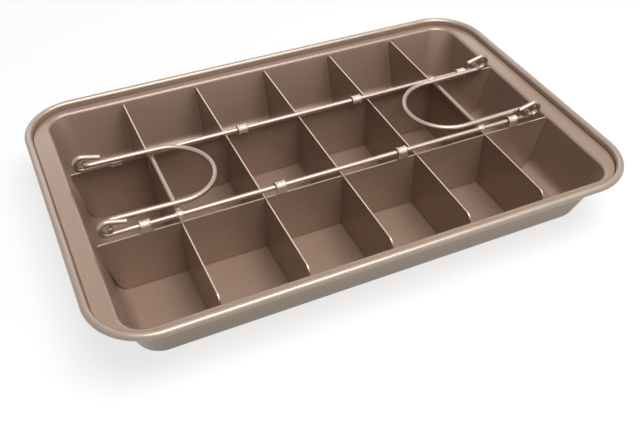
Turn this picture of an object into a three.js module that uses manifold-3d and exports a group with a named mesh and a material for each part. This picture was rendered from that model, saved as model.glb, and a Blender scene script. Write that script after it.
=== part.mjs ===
// Brownie pan with an 18-cell divider rack and two folding handles.
// A pressed steel tray holds a lift-out rack. Two long and five short dividers slot
// together, tabs on the long ones curl round two wire rods, and a crossbar joins the rods
// near each end.
// A wire handle is hinged in the hooked rod ends at each end and lies on its crossbar.
// Units are millimetres: +X runs along the pan, +Y to its back and +Z up. The origin is
// on the surface that the pan stands on, at the middle of its plan.

import * as THREE from "three";
import { mergeVertices } from "three/addons/utils/BufferGeometryUtils.js";
import Module from "manifold-3d";

// Cells: dividers stand at these pitches, and the end and side cells reach the opening.
const COLUMN_PITCH = 47;
const ROW_PITCH = 61.8;
const END_CELL = 46.75;
const SIDE_CELL = 61.3;
const SHORT_DIVIDERS = 5;

// Pan: a pressed tray with drafted walls, a flat flange and a rolled bead.
const PAN_SHEET = 0.8;
const FLANGE_HEIGHT = 36;
const OPENING_CORNER = 12.5;
const FLOOR_CORNER = 6;
const FLOOR_FILLET = 8;
const LIP_RADIUS = 2.2;
const END_DRAFT = THREE.MathUtils.degToRad(12.6);
const SIDE_DRAFT = THREE.MathUtils.degToRad(17.8);
const END_FLANGE = 11.1;
const SIDE_FLANGE = 5.4;
const BEAD_DIAMETER = 4.2;
const BEAD_RISE = 1.9;
const BEAD_CORNER = 30;
const BEAD_FOOT_RADIUS = 0.6;
const BEAD_END_ANGLE = THREE.MathUtils.degToRad(-120);

// Dividers: flat sheet with ends that follow the pan's walls.
const DIVIDER_SHEET = 0.8;
const DIVIDER_STAND = 1;
const DIVIDER_WALL_GAP = 1.6;
const DIVIDER_TOP_CORNER = 4;
const DIVIDER_FOOT_CORNER = 7;
const LONG_DIVIDER_TOP_CORNER = 1.5;
const LAP_SHARE = 0.5;

// Tabs: strips of the long dividers, freed by a notch on each side and curled round a rod.
const TAB_WIDTH = 5.6;
const TAB_NOTCH_WIDTH = 0.5;
const TAB_NOTCH_DEPTH = 1.2;
const INNER_TAB_INSET = 9.4;
const OUTER_TAB_OFFSET = 19.2;
const FRONT_TAB_SHIFT = 0.4;
const BACK_TAB_SHIFT = 0.1;
const TAB_END_ANGLE = THREE.MathUtils.degToRad(-70);

// Rods, their end hooks and the crossbars, all of one wire. The rods sit a little to the
// left in their tabs, and the right crossbar is welded lower than the left one.
const RACK_WIRE = 3;
const ROD_RISE = 3.3;
const ROD_SHIFT = -1.6;
const HOOK_WALL_GAP = 5.2;
const HOOK_PLAY = 2.2;
const TAIL_LENGTH = 9.5;
const TAIL_DROP = THREE.MathUtils.degToRad(15);
const CROSSBAR_INSET = 0.8;
const CROSSBAR_SHIFT = -0.8;
const LEFT_CROSSBAR_RISE = 0.4;
const RIGHT_CROSSBAR_RISE = -0.6;

// Handles: a U of wire whose ends turn out through the hooks. The left one is held up
// under its hooks' crowns, and the right one has slid in and rests on the rods.
const HANDLE_WIRE = 3;
const HANDLE_LENGTH = 65;
const HANDLE_INSET = 4.4;
const HANDLE_BEND = 3;
const PIVOT_OVERHANG = 2.4;
const LEFT_HANDLE_SHIFT = 1;
const RIGHT_HANDLE_SHIFT = -0.85;
const LEFT_HANDLE_SLIP = 1.15;
const RIGHT_HANDLE_SLIP = 4.6;

// Clearances: between pieces that touch, and on each side of a sheet in its slot.
const CLEARANCE = 0.3;
const SLOT_PLAY = 0.3;

// Facets: steps of round shapes.
const CORNER_STEPS = 8;
const FILLET_STEPS = 5;
const LIP_STEPS = 3;
const BEAD_STEPS = 13;
const HOOK_STEPS = 14;
const BEND_STEPS = 4;
const BOW_STEPS = 24;
const CURL_STEPS = 12;
const WIRE_SIDES = 14;

const COATED_STEEL = { color: 0x8a7768, roughness: 0.45, metalness: 0.8 };
const BRIGHT_WIRE = { color: 0xc4b3a6, roughness: 0.25, metalness: 0.9 };

// Derived places
const halfLength = ((SHORT_DIVIDERS - 1) / 2) * COLUMN_PITCH + END_CELL;
const halfWidth = ROW_PITCH / 2 + SIDE_CELL;
const dividerFoot = PAN_SHEET + CLEARANCE;
const dividerTop = FLANGE_HEIGHT + DIVIDER_STAND;
const lapHeight = dividerFoot + (dividerTop - dividerFoot) * LAP_SHARE;
const slotWidth = DIVIDER_SHEET + 2 * SLOT_PLAY;

const rackRadius = RACK_WIRE / 2;
const handleRadius = HANDLE_WIRE / 2;
const rodHeight = dividerTop + ROD_RISE;
const rodInset = DIVIDER_SHEET / 2 + CLEARANCE + rackRadius;
const rodY = ROW_PITCH / 2 - rodInset;
const hookRise = RACK_WIRE + HANDLE_WIRE + HOOK_PLAY;
const hookRadius = hookRise / 2;
const hookX = halfLength - HOOK_WALL_GAP - rackRadius - hookRadius;

const endDividerX = ((SHORT_DIVIDERS - 1) / 2) * COLUMN_PITCH;
const crossbarX = endDividerX - CROSSBAR_INSET;

const legY = rodY - HANDLE_INSET;
const touching = rackRadius + CLEARANCE + handleRadius;

const X = new THREE.Vector3(1, 0, 0);
const Y = new THREE.Vector3(0, 1, 0);
const Z = new THREE.Vector3(0, 0, 1);

const wasm = await Module();
wasm.setup();

// Solids: boolean joins and cuts on closed geometries
function toSolid(geometry) {
  const plain = geometry.clone();
  plain.deleteAttribute("normal");
  plain.deleteAttribute("uv");
  const merged = mergeVertices(plain);
  const mesh = new wasm.Mesh({
    numProp: 3,
    vertProperties: new Float32Array(merged.attributes.position.array),
    triVerts: new Uint32Array(merged.index.array),
  });
  return new wasm.Manifold(mesh);
}

function toGeometry(solid) {
  const mesh = solid.getMesh();
  const geometry = new THREE.BufferGeometry();
  geometry.setAttribute("position", new THREE.BufferAttribute(mesh.vertProperties, 3));
  geometry.setIndex(new THREE.BufferAttribute(mesh.triVerts, 1));
  geometry.computeVertexNormals();
  return geometry;
}

// Outlines: a closed shape through corners {x, y, radius}, each rounded to its radius
function roundedShape(corners) {
  const shape = new THREE.Shape();
  const count = corners.length;
  corners.forEach((corner, i) => {
    const here = new THREE.Vector2(corner.x, corner.y);
    const before = corners[(i + count - 1) % count];
    const after = corners[(i + 1) % count];
    const inward = new THREE.Vector2(before.x, before.y).sub(here).normalize();
    const onward = new THREE.Vector2(after.x, after.y).sub(here).normalize();
    if (!corner.radius) {
      if (i === 0) shape.moveTo(here.x, here.y);
      else shape.lineTo(here.x, here.y);
      return;
    }
    const halfAngle = Math.acos(inward.dot(onward)) / 2;
    const bisector = inward.clone().add(onward).normalize();
    const centre = here.clone().addScaledVector(bisector, corner.radius / Math.sin(halfAngle));
    const tangent = corner.radius / Math.tan(halfAngle);
    const start = here.clone().addScaledVector(inward, tangent).sub(centre);
    const end = here.clone().addScaledVector(onward, tangent).sub(centre);
    const clockwise = inward.cross(onward) > 0;
    if (i === 0) shape.moveTo(centre.x + start.x, centre.y + start.y);
    shape.absarc(centre.x, centre.y, corner.radius, start.angle(), end.angle(), clockwise);
  });
  return shape;
}

// A flat sheet: the shape's x and y lie along across and Z, centred on its thickness
function sheetGeometry(shape, thickness, across) {
  const geometry = new THREE.ExtrudeGeometry(shape, {
    depth: thickness,
    curveSegments: FILLET_STEPS,
    bevelEnabled: false,
  });
  const through = new THREE.Vector3().crossVectors(across, Z);
  geometry.translate(0, 0, -thickness / 2);
  geometry.applyMatrix4(new THREE.Matrix4().makeBasis(across, Z, through));
  return geometry;
}

// Wires: a round section swept through the given points, so straights take one step
class WirePath extends THREE.Curve {
  constructor(points) {
    super();
    this.points = points;
  }

  getPoint(t) {
    const place = t * (this.points.length - 1);
    const index = Math.min(Math.floor(place), this.points.length - 2);
    return this.points[index].clone().lerp(this.points[index + 1], place - index);
  }

  getUtoTmapping(u) {
    return u;
  }
}

function wireGeometry(points, radius) {
  const section = new THREE.Shape().absarc(0, 0, radius, 0, 2 * Math.PI);
  return new THREE.ExtrudeGeometry(section, {
    steps: points.length - 1,
    curveSegments: WIRE_SIDES / 2,
    extrudePath: new WirePath(points),
    bevelEnabled: false,
  });
}

// Points on an arc in the plane of right and up, angles from right towards up
function arcPoints({ centre, radius, from, to, right, up, steps }) {
  return Array.from({ length: steps + 1 }, (_, i) => {
    const angle = THREE.MathUtils.lerp(from, to, i / steps);
    return centre
      .clone()
      .addScaledVector(right, radius * Math.cos(angle))
      .addScaledVector(up, radius * Math.sin(angle));
  });
}

// Pan: rounded rectangles lofted up the inside, over the bead and down the outside
function wallReach({ openingHalf, draft, floorZ, floorRadius, topZ, lipRadius }) {
  const slope = Math.tan(draft);
  const turn = Math.tan((Math.PI / 2 - draft) / 2);
  const floorEdge = openingHalf - (topZ - floorZ) * slope - floorRadius * turn;
  const filletTop = floorZ + floorRadius * (1 - Math.sin(draft));
  const lipBottom = topZ - lipRadius * (1 - Math.sin(draft));
  const flangeEdge = openingHalf + lipRadius * turn;
  return (z) => {
    if (z < filletTop) {
      const drop = floorRadius - (z - floorZ);
      return floorEdge + Math.sqrt(Math.max(floorRadius ** 2 - drop ** 2, 0));
    }
    if (z > lipBottom) {
      const climb = lipRadius - (topZ - z);
      return flangeEdge - Math.sqrt(Math.max(lipRadius ** 2 - climb ** 2, 0));
    }
    return openingHalf - (topZ - z) * slope;
  };
}

function panFace({ lift, offset, floorRadius, lipRadius, cornerGrowth }) {
  const floorZ = PAN_SHEET - lift;
  const topZ = FLANGE_HEIGHT - lift;
  const common = { floorZ, floorRadius, topZ, lipRadius };
  const shift = (draft) => offset / Math.cos(draft) - offset * Math.tan(draft);
  const reachX = wallReach({ openingHalf: halfLength + shift(END_DRAFT), draft: END_DRAFT, ...common });
  const reachY = wallReach({ openingHalf: halfWidth + shift(SIDE_DRAFT), draft: SIDE_DRAFT, ...common });
  const steepest = Math.min(END_DRAFT, SIDE_DRAFT);
  const turned = Math.PI / 2 - steepest;
  const heights = [];
  for (let i = 0; i <= FILLET_STEPS; i += 1) {
    heights.push(floorZ + floorRadius * (1 - Math.cos((turned * i) / FILLET_STEPS)));
  }
  for (let i = 0; i <= LIP_STEPS; i += 1) {
    const angle = steepest + (turned * i) / LIP_STEPS;
    heights.push(topZ - lipRadius * (1 - Math.sin(angle)));
  }
  const footZ = heights[FILLET_STEPS];
  const grow = (z) => reachX(Math.min(z, footZ)) - reachX(floorZ);
  return heights.map((z) => {
    const climb = Math.max(z - footZ, 0) / (topZ - footZ);
    const foot = FLOOR_CORNER + grow(z);
    const corner = THREE.MathUtils.lerp(foot, OPENING_CORNER, climb) + cornerGrowth;
    return { length: reachX(z), width: reachY(z), corner, z };
  });
}

function beadSection() {
  const radius = BEAD_DIAMETER / 2;
  const hollow = radius - PAN_SHEET;
  const top = FLANGE_HEIGHT;
  const centre = top + BEAD_RISE;
  const bend = BEAD_FOOT_RADIUS;
  const underBend = bend + PAN_SHEET;
  const diagonal = Math.SQRT1_2;
  const roll = (size) =>
    Array.from({ length: BEAD_STEPS + 1 }, (_, i) => {
      const angle = THREE.MathUtils.lerp(Math.PI, BEAD_END_ANGLE, i / BEAD_STEPS);
      return { out: size * Math.cos(angle), z: centre + size * Math.sin(angle) };
    });
  return [
    { out: -radius - bend, z: top },
    { out: -radius - bend * (1 - diagonal), z: top + bend * (1 - diagonal) },
    { out: -radius, z: top + bend },
    ...roll(radius),
    ...roll(hollow).reverse(),
    { out: -hollow, z: top + bend },
    { out: -radius - bend + underBend * diagonal, z: top + bend - underBend * diagonal },
    { out: -radius - bend, z: top - PAN_SHEET },
  ];
}

function panRings() {
  const inside = panFace({
    lift: 0,
    offset: 0,
    floorRadius: FLOOR_FILLET,
    lipRadius: LIP_RADIUS,
    cornerGrowth: 0,
  });
  const outside = panFace({
    lift: PAN_SHEET,
    offset: PAN_SHEET,
    floorRadius: FLOOR_FILLET + PAN_SHEET,
    lipRadius: LIP_RADIUS - PAN_SHEET,
    cornerGrowth: PAN_SHEET,
  });
  const bead = beadSection().map(({ out, z }) => ({
    length: halfLength + END_FLANGE + BEAD_DIAMETER / 2 + out,
    width: halfWidth + SIDE_FLANGE + BEAD_DIAMETER / 2 + out,
    corner: BEAD_CORNER + out,
    z,
  }));
  return [...inside, ...bead, ...outside.reverse()];
}

function ringPoints({ length, width, corner, z }) {
  const points = [];
  for (let quarter = 0; quarter < 4; quarter += 1) {
    const signX = quarter === 0 || quarter === 3 ? 1 : -1;
    const signY = quarter < 2 ? 1 : -1;
    for (let i = 0; i <= CORNER_STEPS; i += 1) {
      const angle = ((quarter + i / CORNER_STEPS) * Math.PI) / 2;
      points.push(
        signX * (length - corner) + corner * Math.cos(angle),
        signY * (width - corner) + corner * Math.sin(angle),
        z,
      );
    }
  }
  return points;
}

function panGeometry() {
  const rings = panRings();
  const around = 4 * (CORNER_STEPS + 1);
  const positions = rings.flatMap(ringPoints);
  const floorMiddle = positions.length / 3;
  positions.push(0, 0, rings[0].z, 0, 0, rings[rings.length - 1].z);
  const faces = [];
  for (let j = 0; j < around; j += 1) {
    const next = (j + 1) % around;
    faces.push(floorMiddle, j, next);
    for (let i = 0; i < rings.length - 1; i += 1) {
      const low = i * around;
      const high = low + around;
      faces.push(low + j, high + next, low + next, low + j, high + j, high + next);
    }
    const last = (rings.length - 1) * around;
    faces.push(floorMiddle + 1, last + next, last + j);
  }
  const geometry = new THREE.BufferGeometry();
  geometry.setAttribute("position", new THREE.Float32BufferAttribute(positions, 3));
  geometry.setIndex(faces);
  geometry.computeVertexNormals();
  return geometry;
}

// Dividers: the half size of a divider's sloped end at height z
function dividerReach(openingHalf, draft, z) {
  return openingHalf - (FLANGE_HEIGHT - z) * Math.tan(draft) - DIVIDER_WALL_GAP;
}

// Cuts {at, width, depth} run along the top edge from right to left or the foot from left
function cutCorners(cuts, edgeZ, direction) {
  const ordered = [...cuts].sort((a, b) => direction * (a.at - b.at));
  return ordered.flatMap(({ at, width, depth }) => {
    const near = at - (direction * width) / 2;
    const far = at + (direction * width) / 2;
    const end = edgeZ + direction * depth;
    return [
      { x: near, y: edgeZ },
      { x: near, y: end },
      { x: far, y: end },
      { x: far, y: edgeZ },
    ];
  });
}

function dividerShape({ openingHalf, draft, topCorner, topCuts, footCuts }) {
  const foot = dividerReach(openingHalf, draft, dividerFoot);
  const top = dividerReach(openingHalf, draft, dividerTop);
  return roundedShape([
    { x: -foot, y: dividerFoot, radius: DIVIDER_FOOT_CORNER },
    ...cutCorners(footCuts, dividerFoot, 1),
    { x: foot, y: dividerFoot, radius: DIVIDER_FOOT_CORNER },
    { x: top, y: dividerTop, radius: topCorner },
    ...cutCorners(topCuts, dividerTop, -1),
    { x: -top, y: dividerTop, radius: topCorner },
  ]);
}

function shortDividerPlaces() {
  const middle = (SHORT_DIVIDERS - 1) / 2;
  return Array.from({ length: SHORT_DIVIDERS }, (_, i) => (i - middle) * COLUMN_PITCH);
}

function tabPlaces(shift) {
  const outer = endDividerX + OUTER_TAB_OFFSET;
  const inner = COLUMN_PITCH - INNER_TAB_INSET;
  return [-outer, -inner, inner, outer].map((x) => x + shift);
}

// A tab in the plane across the rod: up from the notch, then curled over the rod
function tabGeometry(x) {
  const inner = rackRadius + CLEARANCE;
  const outer = inner + DIVIDER_SHEET;
  const root = dividerTop - TAB_NOTCH_DEPTH;
  const face = DIVIDER_SHEET / 2;
  const shape = new THREE.Shape();
  shape.moveTo(-face, root);
  shape.lineTo(face, root);
  shape.lineTo(face, rodHeight);
  shape.absarc(rodInset, rodHeight, inner, Math.PI, TAB_END_ANGLE, true);
  shape.absarc(rodInset, rodHeight, outer, TAB_END_ANGLE, Math.PI, false);
  const geometry = new THREE.ExtrudeGeometry(shape, {
    depth: TAB_WIDTH,
    curveSegments: CURL_STEPS,
    bevelEnabled: false,
  });
  geometry.translate(0, 0, x - TAB_WIDTH / 2);
  return geometry.applyMatrix4(new THREE.Matrix4().makeBasis(Y, Z, X));
}

function longDividerSolid(tabs) {
  const slots = shortDividerPlaces().map((at) => ({
    at,
    width: slotWidth,
    depth: dividerTop - lapHeight + CLEARANCE / 2,
  }));
  const notches = tabs.flatMap((at) =>
    [-1, 1].map((side) => ({
      at: at + (side * (TAB_WIDTH + TAB_NOTCH_WIDTH)) / 2,
      width: TAB_NOTCH_WIDTH,
      depth: TAB_NOTCH_DEPTH,
    })),
  );
  const shape = dividerShape({
    openingHalf: halfLength,
    draft: END_DRAFT,
    topCorner: LONG_DIVIDER_TOP_CORNER,
    topCuts: [...slots, ...notches],
    footCuts: [],
  });
  const plate = toSolid(sheetGeometry(shape, DIVIDER_SHEET, X));
  return tabs.reduce((solid, x) => solid.add(toSolid(tabGeometry(x))), plate);
}

function shortDividerGeometry() {
  const slots = [-1, 1].map((side) => ({
    at: (side * ROW_PITCH) / 2,
    width: slotWidth,
    depth: lapHeight - dividerFoot + CLEARANCE / 2,
  }));
  const shape = dividerShape({
    openingHalf: halfWidth,
    draft: SIDE_DRAFT,
    topCorner: DIVIDER_TOP_CORNER,
    topCuts: [],
    footCuts: slots,
  });
  return sheetGeometry(shape, DIVIDER_SHEET, Y);
}

// Rods: a straight wire, each end bent up and back into a hook whose tail slopes down
function hookPoints(side) {
  const outward = X.clone().multiplyScalar(side);
  const curve = arcPoints({
    centre: new THREE.Vector3(side * hookX, 0, hookRadius),
    radius: hookRadius,
    from: -Math.PI / 2,
    to: Math.PI / 2 + TAIL_DROP,
    right: outward,
    up: Z,
    steps: HOOK_STEPS,
  });
  const tail = curve[HOOK_STEPS]
    .clone()
    .addScaledVector(outward, -TAIL_LENGTH * Math.cos(TAIL_DROP))
    .addScaledVector(Z, -TAIL_LENGTH * Math.sin(TAIL_DROP));
  return [...curve, tail];
}

// How high above its rod a handle's end lies when it touches the tail, this far in
function riseUnderTail(slip) {
  const tailRise = hookRadius * (1 + Math.cos(TAIL_DROP));
  const past = slip - hookRadius * Math.sin(TAIL_DROP);
  return tailRise - past * Math.tan(TAIL_DROP) - touching / Math.cos(TAIL_DROP);
}

function rodGeometry() {
  return wireGeometry([...hookPoints(-1).reverse(), ...hookPoints(1)], rackRadius);
}

// Crossbars: straight wires, each end hollowed to sit against the side of a rod
function crossbarGeometry(rise) {
  const ends = [-1, 1].map((side) => new THREE.Vector3(0, side * rodY, rise));
  const bar = toSolid(wireGeometry(ends, rackRadius));
  const seatRadius = rackRadius + CLEARANCE;
  const seat = new THREE.CylinderGeometry(seatRadius, seatRadius, COLUMN_PITCH, 2 * WIRE_SIDES);
  seat.rotateZ(Math.PI / 2);
  const cut = ends.reduce(
    (solid, end) => solid.subtract(toSolid(seat.clone().translate(0, end.y, 0))),
    bar,
  );
  return toGeometry(cut);
}

// Points on a bend of the given radius at corner, on the way from one place to another
function bendPoints(from, corner, to, radius) {
  const inward = from.clone().sub(corner).normalize();
  const onward = to.clone().sub(corner).normalize();
  const halfAngle = Math.acos(inward.dot(onward)) / 2;
  const bisector = inward.clone().add(onward).normalize();
  const centre = corner.clone().addScaledVector(bisector, radius / Math.sin(halfAngle));
  const right = corner
    .clone()
    .addScaledVector(inward, radius / Math.tan(halfAngle))
    .sub(centre)
    .normalize();
  const turned = Math.PI - 2 * halfAngle;
  const up = inward.negate();
  return arcPoints({ centre, radius, from: 0, to: turned, right, up, steps: BEND_STEPS });
}

// Handles: drawn flat with the pivot line along Y through zero and the bow towards +X
function handleGeometry() {
  const bowX = HANDLE_LENGTH - legY;
  const pivotEnd = rodY + rackRadius + PIVOT_OVERHANG;
  const place = (x, y) => new THREE.Vector3(x, y, 0);
  const turn = (side) =>
    bendPoints(place(0, side * pivotEnd), place(0, side * legY), place(bowX, side * legY), HANDLE_BEND);
  const bow = arcPoints({
    centre: place(bowX, 0),
    radius: legY,
    from: -Math.PI / 2,
    to: Math.PI / 2,
    right: X,
    up: Y,
    steps: BOW_STEPS,
  });
  const points = [place(0, -pivotEnd), ...turn(-1), ...bow, ...turn(1).reverse(), place(0, pivotEnd)];
  return wireGeometry(points, handleRadius);
}

// Assembly
const object = new THREE.Group();
const coated = new THREE.MeshStandardMaterial(COATED_STEEL);
const wire = new THREE.MeshStandardMaterial(BRIGHT_WIRE);

function add(parent, name, geometry, material) {
  const mesh = new THREE.Mesh(geometry, material);
  mesh.name = name;
  parent.add(mesh);
  return mesh;
}

add(object, "pan", panGeometry(), coated);

const frontDivider = longDividerSolid(tabPlaces(FRONT_TAB_SHIFT));
const backDivider = longDividerSolid(tabPlaces(BACK_TAB_SHIFT)).mirror([0, 1, 0]);
add(object, "front_long_divider", toGeometry(frontDivider), coated).position.y = -ROW_PITCH / 2;
add(object, "back_long_divider", toGeometry(backDivider), coated).position.y = ROW_PITCH / 2;

const shortDivider = shortDividerGeometry();
shortDividerPlaces().forEach((x, i) => {
  add(object, `short_divider_${i + 1}`, shortDivider, coated).position.x = x;
});

const rod = rodGeometry();
add(object, "front_rod", rod, wire).position.set(ROD_SHIFT, -rodY, rodHeight);
add(object, "back_rod", rod, wire).position.set(ROD_SHIFT, rodY, rodHeight);

function addEnd({ name, side, barRise, pivotX, pivotY, pivotRise }) {
  const barX = CROSSBAR_SHIFT + side * crossbarX;
  const bar = add(object, `${name}_crossbar`, crossbarGeometry(barRise), wire);
  bar.position.set(barX, 0, rodHeight);

  const sag = Math.atan2(pivotRise - barRise - touching, Math.abs(pivotX - barX));
  const hinge = new THREE.Group();
  hinge.position.set(pivotX, pivotY, rodHeight + pivotRise);
  hinge.rotation.z = side > 0 ? Math.PI : 0;
  add(hinge, `${name}_handle`, handleGeometry(), wire).rotation.y = sag;
  object.add(hinge);
}

addEnd({
  name: "left",
  side: -1,
  barRise: LEFT_CROSSBAR_RISE,
  pivotX: ROD_SHIFT - hookX + LEFT_HANDLE_SLIP,
  pivotY: LEFT_HANDLE_SHIFT,
  pivotRise: riseUnderTail(LEFT_HANDLE_SLIP),
});
addEnd({
  name: "right",
  side: 1,
  barRise: RIGHT_CROSSBAR_RISE,
  pivotX: ROD_SHIFT + hookX - RIGHT_HANDLE_SLIP,
  pivotY: RIGHT_HANDLE_SHIFT,
  pivotRise: touching,
});

export default object;
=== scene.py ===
# %% [markdown]
# # A divided brownie pan
#
# This notebook dresses a CAD model of a brownie pan. The pan is a pressed steel tray with a
# rolled rim. A rack of thin steel dividers sits in it, hung on two wire rods, and a wire
# handle folds down at each end. Everything here is in metres, in the same frame as the CAD:
# +X runs along the pan, +Y to its back and +Z up, with the origin under the middle.

import math

import bmesh
import bpy
from mathutils import Matrix, Vector, noise


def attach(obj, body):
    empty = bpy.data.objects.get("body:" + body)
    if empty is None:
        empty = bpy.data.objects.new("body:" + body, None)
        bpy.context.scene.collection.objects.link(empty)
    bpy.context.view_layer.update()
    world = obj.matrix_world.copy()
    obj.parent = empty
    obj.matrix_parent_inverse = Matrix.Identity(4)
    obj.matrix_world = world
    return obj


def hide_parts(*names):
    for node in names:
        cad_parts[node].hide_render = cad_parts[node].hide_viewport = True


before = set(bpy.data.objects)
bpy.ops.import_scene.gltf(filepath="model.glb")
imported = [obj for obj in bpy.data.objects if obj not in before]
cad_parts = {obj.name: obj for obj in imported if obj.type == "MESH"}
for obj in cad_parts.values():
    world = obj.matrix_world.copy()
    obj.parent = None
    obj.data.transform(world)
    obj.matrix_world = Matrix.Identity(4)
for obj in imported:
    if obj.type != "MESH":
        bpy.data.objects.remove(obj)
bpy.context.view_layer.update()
MM = 0.001
print("nodes:", sorted(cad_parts))

# %% [markdown]
# ## The camera
#
# A camera can be nudged until the picture looks right, but then later errors hide in it, so
# this one was solved before any surface was judged. Its direction came from the straight
# lines of the tray and the dividers, its lens from how fast they draw together, and its
# distance from the real length of the rim. It looks at a point on the floor of the pan.

# %% Camera
CAMERA_AIM = Vector((-8.902, -20.185, 1.0)) * MM
CAMERA_DISTANCE = 0.48819
CAMERA_AZIMUTH = math.radians(-25.438)
CAMERA_ELEVATION = math.radians(42.227)
CAMERA_ROLL = math.radians(0.865)
SENSOR_WIDTH = 36.0
FOCAL_SHARE = 821.69 / 640
NEAREST, FARTHEST = 0.01, 20


def photo_camera():
    back = Vector((
        math.sin(CAMERA_AZIMUTH) * math.cos(CAMERA_ELEVATION),
        -math.cos(CAMERA_AZIMUTH) * math.cos(CAMERA_ELEVATION),
        math.sin(CAMERA_ELEVATION),
    ))
    right = Vector((math.cos(CAMERA_AZIMUTH), math.sin(CAMERA_AZIMUTH), 0))
    up = back.cross(right)
    turn = Matrix((right, up, back)).transposed() @ Matrix.Rotation(CAMERA_ROLL, 3, "Z")
    data = bpy.data.cameras.new("photo_camera")
    data.sensor_fit = "HORIZONTAL"
    data.sensor_width = SENSOR_WIDTH
    data.lens = SENSOR_WIDTH * FOCAL_SHARE
    data.clip_start, data.clip_end = NEAREST, FARTHEST
    camera = bpy.data.objects.new("photo_camera", data)
    camera.matrix_world = Matrix.Translation(CAMERA_AIM + back * CAMERA_DISTANCE) @ turn.to_4x4()
    bpy.context.scene.collection.objects.link(camera)
    bpy.context.scene.camera = camera
    return camera


print("lens:", round(photo_camera().data.lens, 2), "mm")

# %% [markdown]
# ## Named sizes
#
# The pieces below are finer versions of the CAD solids, so they repeat its sizes. Sheet metal
# is easiest to think of as a middle surface with a thickness, so the sheet pieces are drawn
# halfway through the metal and a Solidify modifier gives them both faces.

# %% Sizes shared by the pieces
SHEET = 0.8 * MM
HALF_SHEET = SHEET / 2
COLUMN_PITCH = 47 * MM
ROW_PITCH = 61.8 * MM
SHORT_DIVIDERS = 5
OPENING_HALF_X = 140.75 * MM
OPENING_HALF_Y = 92.2 * MM
FLANGE_HEIGHT = 36 * MM
END_DRAFT = math.radians(12.6)
SIDE_DRAFT = math.radians(17.8)
WIRE_RADIUS = 1.5 * MM
ROD_Y = 28.7 * MM
ROD_HEIGHT = 40.3 * MM
CROSSBAR_X = {"left": -94 * MM, "right": 92.4 * MM}
CROSSBAR_HEIGHT = {"left": 40.7 * MM, "right": 39.7 * MM}
print("opening:", round(2 * OPENING_HALF_X / MM, 1), "x", round(2 * OPENING_HALF_Y / MM, 1), "mm")

# %% [markdown]
# ## Helpers for meshes
#
# A few small helpers serve every piece. One makes an object from points and faces, and one
# merges its doubles and turns its faces outwards. Another turns an object with modifiers into
# a plain mesh, because what rides on the CAD model has to be final. The next does the same
# and marks the sharp edges, so that flat ends stay crisp beside round sides. It also weights
# the normals by area, so that a narrow rounding doesn't bend the shade of a flat face.

# %% Mesh helpers
SHARP_ANGLE = math.radians(40)
MERGE_DISTANCE = 1e-7
AREA_WEIGHT = 50


def mesh_object(name, points, faces, edges=()):
    mesh = bpy.data.meshes.new(name)
    mesh.from_pydata([tuple(p) for p in points], list(edges), list(faces))
    mesh.update()
    piece = bpy.data.objects.new(name, mesh)
    bpy.context.scene.collection.objects.link(piece)
    return piece


def face_outwards(piece):
    work = bmesh.new()
    work.from_mesh(piece.data)
    bmesh.ops.remove_doubles(work, verts=work.verts, dist=MERGE_DISTANCE)
    bmesh.ops.recalc_face_normals(work, faces=work.faces)
    work.to_mesh(piece.data)
    work.free()


def bake_modifiers(piece):
    depsgraph = bpy.context.evaluated_depsgraph_get()
    final = bpy.data.meshes.new_from_object(piece.evaluated_get(depsgraph))
    piece.modifiers.clear()
    piece.data = final
    final.name = piece.name


def make_plain(piece):
    bake_modifiers(piece)
    piece.data.shade_smooth()
    piece.data.set_sharp_from_angle(angle=SHARP_ANGLE)
    weighting = piece.modifiers.new("flat_faces_flat", "WEIGHTED_NORMAL")
    weighting.mode = "FACE_AREA"
    weighting.weight = AREA_WEIGHT
    weighting.keep_sharp = True
    bake_modifiers(piece)
    print(piece.name, "has", len(piece.data.polygons), "faces")
    return piece


# %% [markdown]
# Sheet pieces share two more steps. `thicken` gives a middle surface its two faces and rounds
# the cut edges a little, as deburring does. `dress` puts a finish on the faces that a test
# picks out, because one sheet can be bronze on its face and lighter on its edge, from wear and
# a painted highlight.

# %% Sheet helpers
EDGE_SEGMENTS = 2


def thicken(piece, edge_radius):
    solid = piece.modifiers.new("sheet", "SOLIDIFY")
    solid.thickness = SHEET
    solid.offset = 0
    solid.use_even_offset = True
    rounding = piece.modifiers.new("edge", "BEVEL")
    rounding.width = edge_radius
    rounding.segments = EDGE_SEGMENTS
    rounding.limit_method = "ANGLE"
    rounding.angle_limit = SHARP_ANGLE
    rounding.use_clamp_overlap = True


def dress(piece, finish, chosen):
    piece.data.materials.append(finish)
    slot = len(piece.data.materials) - 1
    for face in piece.data.polygons:
        if chosen(face):
            face.material_index = slot


# %% [markdown]
# ## Helpers for node trees
#
# Shader trees and geometry trees are both built in code. A thin wrapper keeps that readable:
# it adds a node, sets its fields and feeds its inputs with values or other nodes' outputs.
# Sums and blends of two colours come up often, so each has a helper that gives its output.

# %% Node helpers
def feed(tree, socket, value):
    if isinstance(value, bpy.types.NodeSocket):
        tree.links.new(value, socket)
    else:
        socket.default_value = value


def add_node(tree, kind, inputs=None, **fields):
    node = tree.nodes.new(kind)
    for key, value in fields.items():
        setattr(node, key, value)
    for key, value in (inputs or {}).items():
        feed(tree, node.inputs[key], value)
    return node


def calculate(tree, operation, first, second):
    node = add_node(tree, "ShaderNodeMath", {0: first, 1: second}, operation=operation)
    return node.outputs[0]


def blend_colours(tree, share, first, second):
    node = add_node(tree, "ShaderNodeMix", {"Factor": share}, data_type="RGBA")
    ends = {socket.name: socket for socket in node.inputs if socket.type == "RGBA"}
    feed(tree, ends["A"], first)
    feed(tree, ends["B"], second)
    return next(socket for socket in node.outputs if socket.type == "RGBA")


# %% [markdown]
# A tree that is used more than once, or that a modifier runs, is a group with named inputs
# and outputs. A modifier finds an input by its socket's identifier, so the second helper
# looks the names up.

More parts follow.
